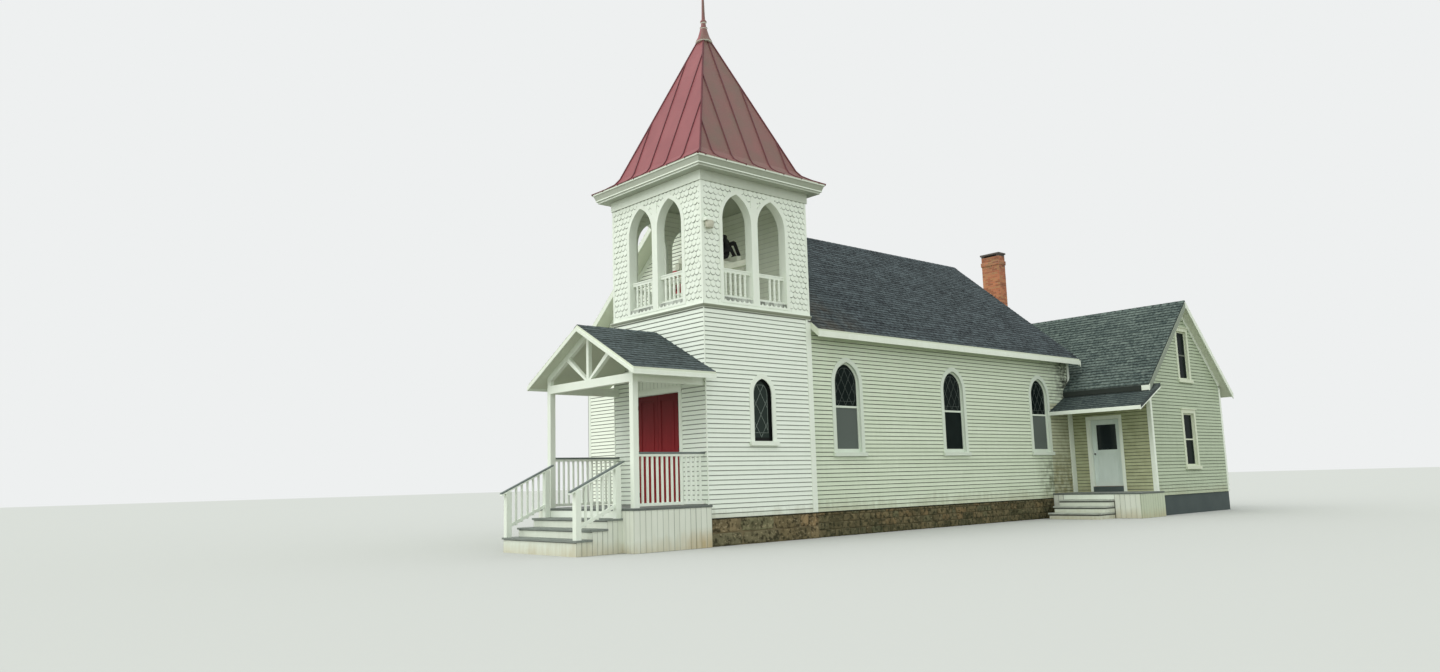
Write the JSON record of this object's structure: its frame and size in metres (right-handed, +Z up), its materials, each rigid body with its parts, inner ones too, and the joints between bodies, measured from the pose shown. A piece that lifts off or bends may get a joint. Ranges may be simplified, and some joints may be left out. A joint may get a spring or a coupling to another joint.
{
  "type": "small chapel",
  "caption": "Small white timber chapel with a corner bell tower, flared metal spire, gabled nave with pointed windows, rear wing, gabled front porch and side deck",
  "frame": {"origin": "on the ground under the middle of the tower's front wall, on the flat underside of the tower's foundation", "axes": "+Z up; the front with the porch and red doors faces -Y; +X is to the right seen from the front, towards the side deck"},
  "size_m": [11.695, 24.36, 14.3953],
  "materials": {
    "white_wood": "painted",
    "weathered_timber": "weathered",
    "step_paint": "painted",
    "floor_boards": "worn",
    "pale_beam": "rough",
    "red_door_paint": "painted",
    "side_door_paint": "painted",
    "dark_shingle": "rough",
    "grey_shingle": "rough",
    "red_metal": "weathered",
    "black_iron": "rough",
    "fieldstone": "rough",
    "painted_masonry": "rough",
    "brick": "rough",
    "window_glass": "clear"
  },
  "bodies": {
    "building": {"stone_foundation": "fieldstone", "wing_foundation": "painted_masonry", "nave_floor": "floor_boards", "wing_floor": "floor_boards", "tower_front_wall_left": "white_wood", "tower_front_wall_right": "white_wood", "tower_front_wall_head": "white_wood", "tower_right_wall": "white_wood", "tower_left_wall": "white_wood", "tower_back_wall": "white_wood", "tower_belt": "white_wood", "belfry_floor": "weathered_timber", "belfry_front_wall": "white_wood", "belfry_right_wall": "white_wood", "belfry_left_wall": "white_wood", "belfry_railings": "white_wood", "belfry_frieze": "white_wood", "belfry_cornice": "white_wood", "spire_roof": "red_metal", "finial": "red_metal", "bell_beams": "pale_beam", "bell_stands": "black_iron", "nave_front_wall": "white_wood", "nave_right_wall": "white_wood", "nave_left_wall": "white_wood", "nave_back_wall": "white_wood", "nave_roof_right": "dark_shingle", "nave_roof_left": "dark_shingle", "gable_vent": "red_door_paint", "roof_edge_boards": "white_wood", "wing_front_wall_left": "white_wood", "wing_front_wall_right": "white_wood", "wing_front_wall_head": "white_wood", "wing_right_wall": "white_wood", "wing_back_wall": "white_wood", "wing_left_wall": "white_wood", "wing_roof": "grey_shingle", "pent_roof": "grey_shingle", "side_deck": "weathered_timber", "side_steps": "step_paint", "chimney": "brick", "porch_deck": "weathered_timber", "porch_steps": "step_paint", "porch_frame": "white_wood", "porch_roof": "dark_shingle", "porch_railings": "white_wood", "door_hinges": "black_iron", "window_frames": "white_wood", "window_glass": "window_glass"},
    "front_door_left_leaf": {"front_door_left": "red_door_paint"},
    "front_door_right_leaf": {"front_door_right": "red_door_paint"},
    "side_door_leaf": {"side_door": "side_door_paint"},
    "bell_body": {"bell": "black_iron"}
  },
  "joints": [
    {"name": "front_door_left_hinge", "type": "hinge", "parent": "building", "child": "front_door_left_leaf", "pos_m": [-0.74, -0.026, 2.1], "axis": [0, 0, -1], "range_deg": [0, 100]},
    {"name": "front_door_right_hinge", "type": "hinge", "parent": "building", "child": "front_door_right_leaf", "pos_m": [0.74, -0.026, 2.1], "axis": [0, 0, 1], "range_deg": [0, 100]},
    {"name": "side_door_hinge", "type": "hinge", "parent": "building", "child": "side_door_leaf", "pos_m": [3.147, 15.64, 1.9], "axis": [0, 0, -1], "range_deg": [0, 100]},
    {"name": "bell_swing", "type": "hinge", "parent": "building", "child": "bell_body", "pos_m": [0, 1.69, 7.42], "axis": [0, 1, 0], "range_deg": [-30, 30]}
  ]
}
